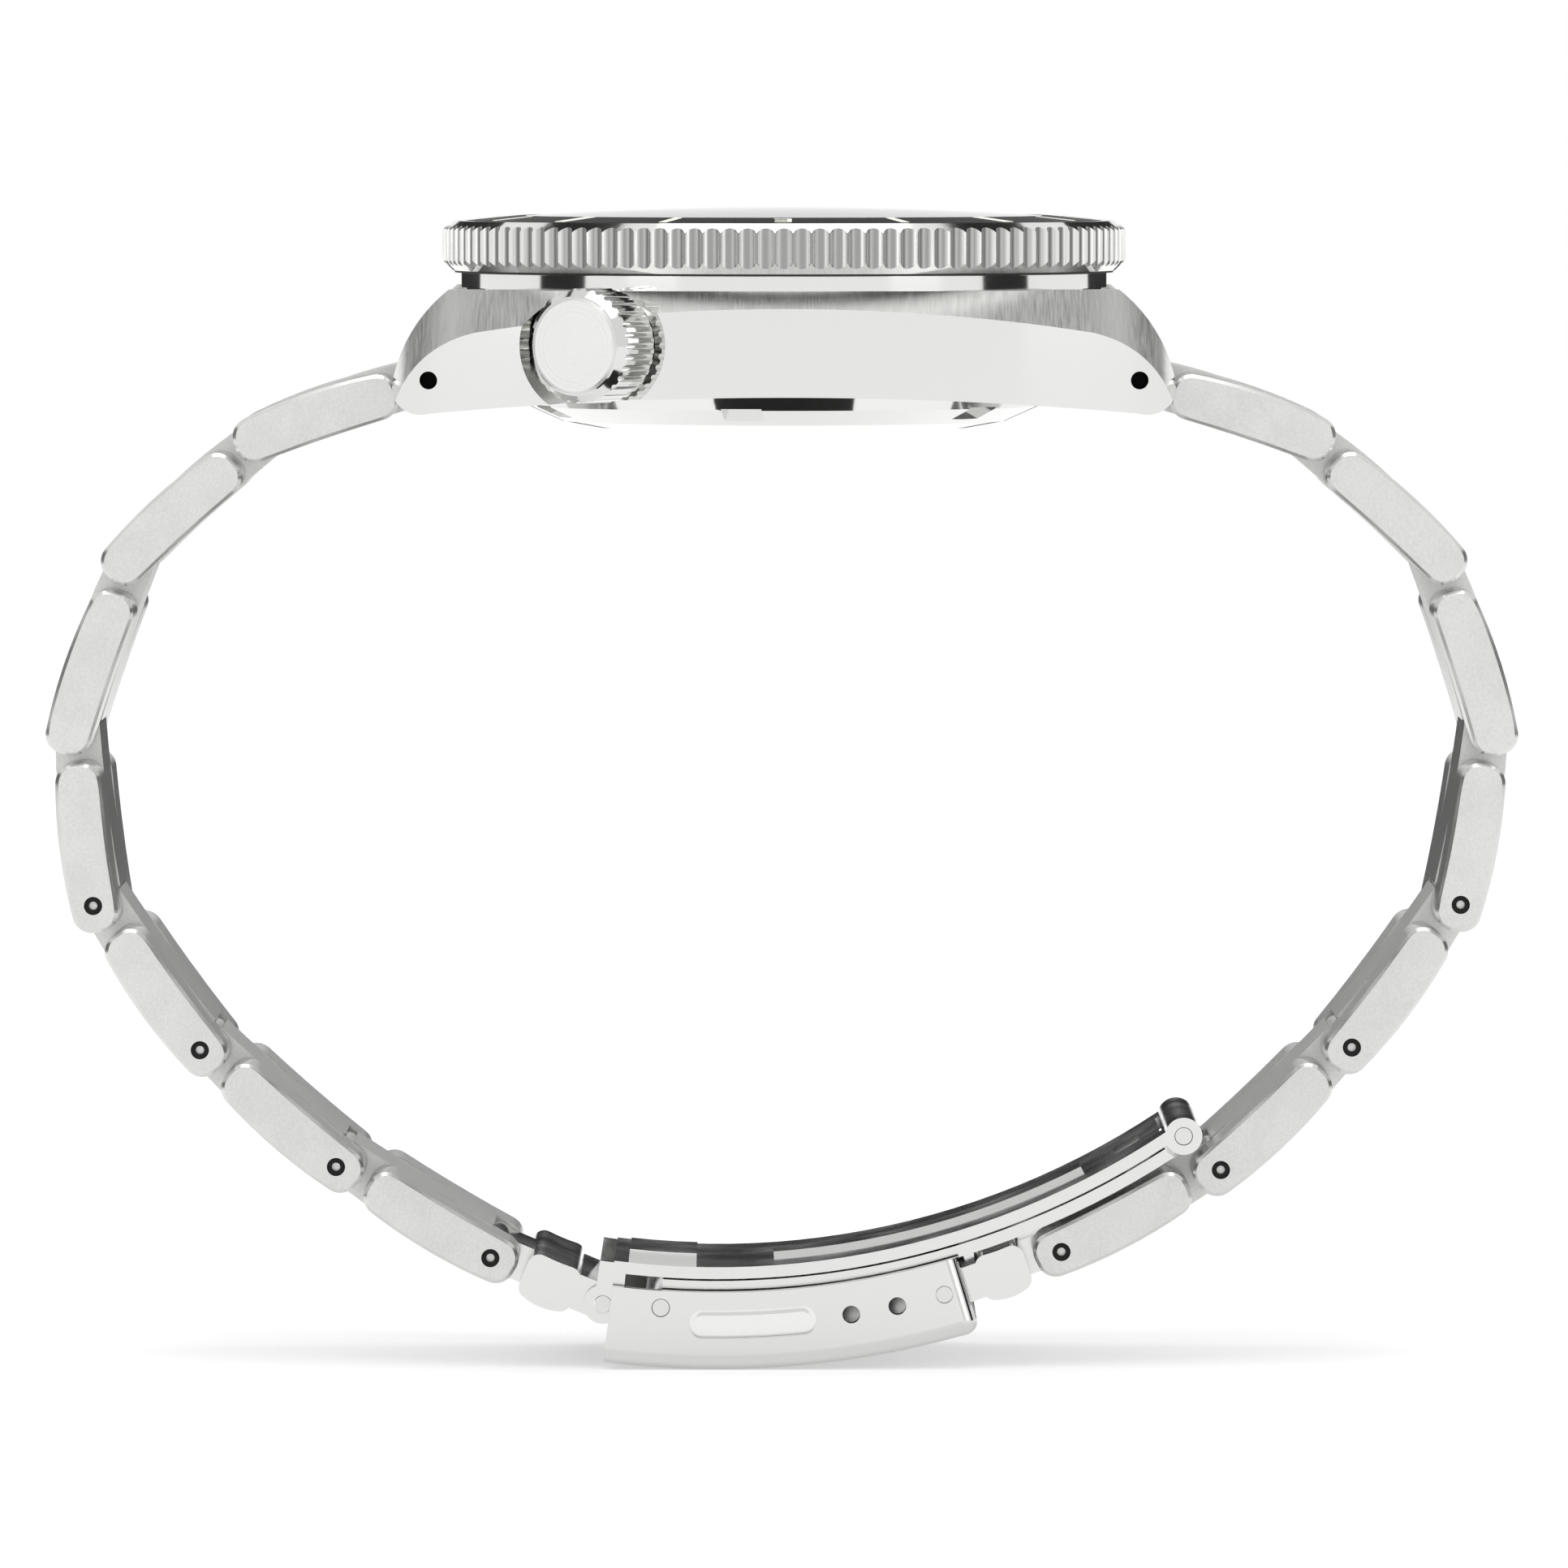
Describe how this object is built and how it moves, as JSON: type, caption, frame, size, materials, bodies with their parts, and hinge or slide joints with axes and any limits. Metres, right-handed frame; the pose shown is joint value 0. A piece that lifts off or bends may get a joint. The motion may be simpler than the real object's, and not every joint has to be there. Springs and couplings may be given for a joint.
{
  "type": "dive watch",
  "caption": "Steel dive watch on a three-row link bracelet, standing closed, with a fluted turning bezel, crown at 4, see-through back and folding clasp.",
  "frame": {"origin": "centre of the case back's outer face, where the glass is flush with the ring", "axes": "+Z out through the dial, +Y towards 12 o'clock, +X towards 3 o'clock"},
  "size_m": [0.0435, 0.0868, 0.0686],
  "materials": {
    "case_steel": "satin and polished 316L stainless steel",
    "polished_steel": "polished 316L stainless steel",
    "link_steel": "satin and polished 316L stainless steel",
    "clasp_steel": "satin and polished 316L stainless steel",
    "crystal_glass": "clear mineral crystal",
    "black_insert": "black anodised aluminium, matt",
    "dial_black": "matt black lacquer",
    "lume": "pale luminous paint in polished surrounds",
    "gasket_rubber": "black nitrile rubber",
    "holder_plastic": "white nylon",
    "movement_plate": "nickel-plated brass, straight grained",
    "movement_brass": "gilt brass",
    "date_white": "white enamel paint",
    "spring_steel": "hard bright steel"
  },
  "bodies": {
    "case": {"case_middle": "case_steel", "case_back_ring": "polished_steel", "case_back_glass": "crystal_glass", "case_back_gasket": "gasket_rubber", "crystal": "crystal_glass", "crystal_gasket": "gasket_rubber", "bezel_click_spring": "spring_steel", "dial": "dial_black", "chapter_ring": "dial_black", "hour_markers": "lume", "movement_ring": "holder_plastic", "main_plate": "movement_plate", "movement_bridges": "movement_plate", "balance_cock": "movement_plate", "rotor_bearing": "spring_steel", "crown_tube": "polished_steel", "lug_spring_bars": "spring_steel", "end_link_12h": "link_steel", "end_link_6h": "link_steel"},
    "bezel": {"bezel_ring": "polished_steel", "bezel_insert": "black_insert"},
    "stem": {"winding_stem": "spring_steel"},
    "crown": {"crown": "polished_steel", "crown_gasket": "gasket_rubber"},
    "second_hand": {"second_hand": "lume"},
    "minute_hand": {"minute_hand": "lume"},
    "hour_hand": {"hour_hand": "lume"},
    "date_disc": {"date_disc": "date_white"},
    "mainspring_barrel": {"mainspring_barrel": "movement_brass"},
    "balance_wheel": {"balance_wheel": "movement_brass"},
    "rotor": {"rotor": "movement_plate"},
    "link_12h_1": {"link_12h_1": "link_steel"},
    "link_12h_2": {"link_12h_2": "link_steel"},
    "link_12h_3": {"link_12h_3": "link_steel"},
    "link_12h_4": {"link_12h_4": "link_steel"},
    "link_12h_5": {"link_12h_5": "link_steel"},
    "link_12h_6": {"link_12h_6": "link_steel"},
    "link_12h_7": {"link_12h_7": "link_steel"},
    "link_6h_1": {"link_6h_1": "link_steel"},
    "link_6h_2": {"link_6h_2": "link_steel"},
    "link_6h_3": {"link_6h_3": "link_steel"},
    "link_6h_4": {"link_6h_4": "link_steel"},
    "link_6h_5": {"link_6h_5": "link_steel"},
    "link_6h_6": {"link_6h_6": "link_steel"},
    "link_6h_7": {"link_6h_7": "link_steel"},
    "clasp_end_12h": {"clasp_end_12h": "clasp_steel"},
    "clasp_end_6h": {"clasp_end_6h": "clasp_steel"},
    "clasp_cover": {"clasp_cover": "clasp_steel", "clasp_spring_bar": "spring_steel", "blade_hinge_pin": "spring_steel", "latch_spring": "spring_steel"},
    "push_button_near": {"push_button_near": "polished_steel"},
    "push_button_far": {"push_button_far": "polished_steel"},
    "inner_blade": {"inner_blade": "clasp_steel", "fold_pin": "spring_steel"},
    "outer_blade": {"outer_blade": "clasp_steel", "ear_pin": "spring_steel"}
  },
  "joints": [
    {"name": "bezel_turn", "type": "hinge", "parent": "case", "child": "bezel", "pos_m": [0, 0, 0.0108], "axis": [0, 0, 1], "continuous": true},
    {"name": "crown_pull", "type": "slide", "parent": "case", "child": "stem", "axis": [0.866, -0.5, 0], "range_m": [0, 0.0012]},
    {"name": "crown_turn", "type": "hinge", "parent": "stem", "child": "crown", "pos_m": [0, 0, 0.0052], "axis": [0.866, -0.5, 0], "continuous": true},
    {"name": "second_hand_turn", "type": "hinge", "parent": "case", "child": "second_hand", "pos_m": [0, 0, 0.009], "axis": [0, 0, -1], "continuous": true},
    {"name": "minute_hand_turn", "type": "hinge", "parent": "case", "child": "minute_hand", "pos_m": [0, 0, 0.009], "axis": [0, 0, -1], "continuous": true},
    {"name": "hour_hand_turn", "type": "hinge", "parent": "case", "child": "hour_hand", "pos_m": [0, 0, 0.009], "axis": [0, 0, -1], "continuous": true},
    {"name": "date_disc_turn", "type": "hinge", "parent": "case", "child": "date_disc", "pos_m": [0, 0, 0.007], "axis": [0, 0, -1], "continuous": true},
    {"name": "barrel_turn", "type": "hinge", "parent": "case", "child": "mainspring_barrel", "pos_m": [-0.0062, 0.0036, 0.005], "axis": [0, 0, 1], "continuous": true},
    {"name": "balance_swing", "type": "hinge", "parent": "case", "child": "balance_wheel", "pos_m": [-0.0006, -0.0071, 0.005], "axis": [0, 0, 1], "range_deg": [-150, 150]},
    {"name": "rotor_turn", "type": "hinge", "parent": "case", "child": "rotor", "pos_m": [0, 0, 0.003], "axis": [0, 0, 1], "continuous": true},
    {"name": "link_12h_1_hinge", "type": "hinge", "parent": "case", "child": "link_12h_1", "pos_m": [0, 0.0208, 0.0031], "axis": [1, 0, 0], "range_deg": [-24, 26]},
    {"name": "link_12h_2_hinge", "type": "hinge", "parent": "link_12h_1", "child": "link_12h_2", "pos_m": [0, 0.03085, -0.00026], "axis": [1, 0, 0], "range_deg": [-18, 32]},
    {"name": "link_12h_3_hinge", "type": "hinge", "parent": "link_12h_2", "child": "link_12h_3", "pos_m": [0, 0.03867, -0.00743], "axis": [1, 0, 0], "range_deg": [-12, 38]},
    {"name": "link_12h_4_hinge", "type": "hinge", "parent": "link_12h_3", "child": "link_12h_4", "pos_m": [0, 0.04186, -0.01753], "axis": [1, 0, 0], "range_deg": [-14, 36]},
    {"name": "link_12h_5_hinge", "type": "hinge", "parent": "link_12h_4", "child": "link_12h_5", "pos_m": [0, 0.03992, -0.02796], "axis": [1, 0, 0], "range_deg": [-15, 35]},
    {"name": "link_12h_6_hinge", "type": "hinge", "parent": "link_12h_5", "child": "link_12h_6", "pos_m": [0, 0.03353, -0.03641], "axis": [1, 0, 0], "range_deg": [-32, 18]},
    {"name": "link_12h_7_hinge", "type": "hinge", "parent": "link_12h_6", "child": "link_12h_7", "pos_m": [0, 0.02582, -0.04368], "axis": [1, 0, 0], "range_deg": [-26, 24]},
    {"name": "clasp_end_12h_hinge", "type": "hinge", "parent": "link_12h_7", "child": "clasp_end_12h", "pos_m": [0, 0.0164, -0.04856], "axis": [1, 0, 0], "range_deg": [-34, 16]},
    {"name": "link_6h_1_hinge", "type": "hinge", "parent": "case", "child": "link_6h_1", "pos_m": [0, -0.0208, 0.0031], "axis": [-1, 0, 0], "range_deg": [-23, 27]},
    {"name": "link_6h_2_hinge", "type": "hinge", "parent": "link_6h_1", "child": "link_6h_2", "pos_m": [0, -0.03083, -0.00033], "axis": [-1, 0, 0], "range_deg": [-18, 32]},
    {"name": "link_6h_3_hinge", "type": "hinge", "parent": "link_6h_2", "child": "link_6h_3", "pos_m": [0, -0.03866, -0.00748], "axis": [-1, 0, 0], "range_deg": [-13, 37]},
    {"name": "link_6h_4_hinge", "type": "hinge", "parent": "link_6h_3", "child": "link_6h_4", "pos_m": [0, -0.04209, -0.01751], "axis": [-1, 0, 0], "range_deg": [-16, 34]},
    {"name": "link_6h_5_hinge", "type": "hinge", "parent": "link_6h_4", "child": "link_6h_5", "pos_m": [0, -0.04076, -0.02802], "axis": [-1, 0, 0], "range_deg": [-13, 37]},
    {"name": "link_6h_6_hinge", "type": "hinge", "parent": "link_6h_5", "child": "link_6h_6", "pos_m": [0, -0.03449, -0.03657], "axis": [-1, 0, 0], "range_deg": [-29, 21]},
    {"name": "link_6h_7_hinge", "type": "hinge", "parent": "link_6h_6", "child": "link_6h_7", "pos_m": [0, -0.02647, -0.0435], "axis": [-1, 0, 0], "range_deg": [-32, 18]},
    {"name": "clasp_end_6h_hinge", "type": "hinge", "parent": "link_6h_7", "child": "clasp_end_6h", "pos_m": [0, -0.01736, -0.04892], "axis": [-1, 0, 0], "range_deg": [-34, 16]},
    {"name": "clasp_cover_hinge", "type": "hinge", "parent": "clasp_end_12h", "child": "clasp_cover", "pos_m": [0, 0.00948, -0.05101], "axis": [1, 0, 0], "range_deg": [-40, 20]},
    {"name": "clasp_unfold", "type": "hinge", "parent": "clasp_cover", "child": "inner_blade", "pos_m": [0, -0.00728, -0.05179], "axis": [1, 0, 0], "range_deg": [0, 98]},
    {"name": "blade_fold_hinge", "type": "hinge", "parent": "inner_blade", "child": "outer_blade", "pos_m": [0, 0.02363, -0.04174], "axis": [1, 0, 0], "range_deg": [-160, 0]},
    {"name": "push_button_near_press", "type": "slide", "parent": "clasp_cover", "child": "push_button_near", "axis": [-1, 0, 0], "range_m": [0, 0.0007], "stiffness_N_per_m": 400, "springref_m": -0.0005},
    {"name": "push_button_far_press", "type": "slide", "parent": "clasp_cover", "child": "push_button_far", "axis": [1, 0, 0], "range_m": [0, 0.0007], "stiffness_N_per_m": 400, "springref_m": -0.0005}
  ],
  "couplings": [
    {"joint": "second_hand_turn", "follows": "minute_hand_turn", "ratio": 60},
    {"joint": "hour_hand_turn", "follows": "minute_hand_turn", "ratio": 0.083333},
    {"joint": "link_12h_1_hinge", "follows": "clasp_unfold", "ratio": 0.0984},
    {"joint": "link_12h_2_hinge", "follows": "clasp_unfold", "ratio": 0.13287},
    {"joint": "link_12h_3_hinge", "follows": "clasp_unfold", "ratio": 0.13884},
    {"joint": "link_12h_4_hinge", "follows": "clasp_unfold", "ratio": 0.11665},
    {"joint": "link_12h_5_hinge", "follows": "clasp_unfold", "ratio": 0.07019},
    {"joint": "link_12h_6_hinge", "follows": "clasp_unfold", "ratio": -0.03651},
    {"joint": "link_12h_7_hinge", "follows": "clasp_unfold", "ratio": -0.07952},
    {"joint": "clasp_end_12h_hinge", "follows": "clasp_unfold", "ratio": -0.0676},
    {"joint": "link_6h_1_hinge", "follows": "clasp_unfold", "ratio": 0.05755},
    {"joint": "link_6h_2_hinge", "follows": "clasp_unfold", "ratio": 0.0721},
    {"joint": "link_6h_3_hinge", "follows": "clasp_unfold", "ratio": 0.06059},
    {"joint": "link_6h_4_hinge", "follows": "clasp_unfold", "ratio": 0.0263},
    {"joint": "link_6h_5_hinge", "follows": "clasp_unfold", "ratio": -0.06562},
    {"joint": "link_6h_6_hinge", "follows": "clasp_unfold", "ratio": -0.15572},
    {"joint": "link_6h_7_hinge", "follows": "clasp_unfold", "ratio": -0.17799},
    {"joint": "clasp_end_6h_hinge", "follows": "clasp_unfold", "ratio": -0.13784},
    {"joint": "clasp_cover_hinge", "follows": "clasp_unfold", "ratio": -0.21783},
    {"joint": "blade_fold_hinge", "follows": "clasp_unfold", "ratio": -1.2067}
  ]
}
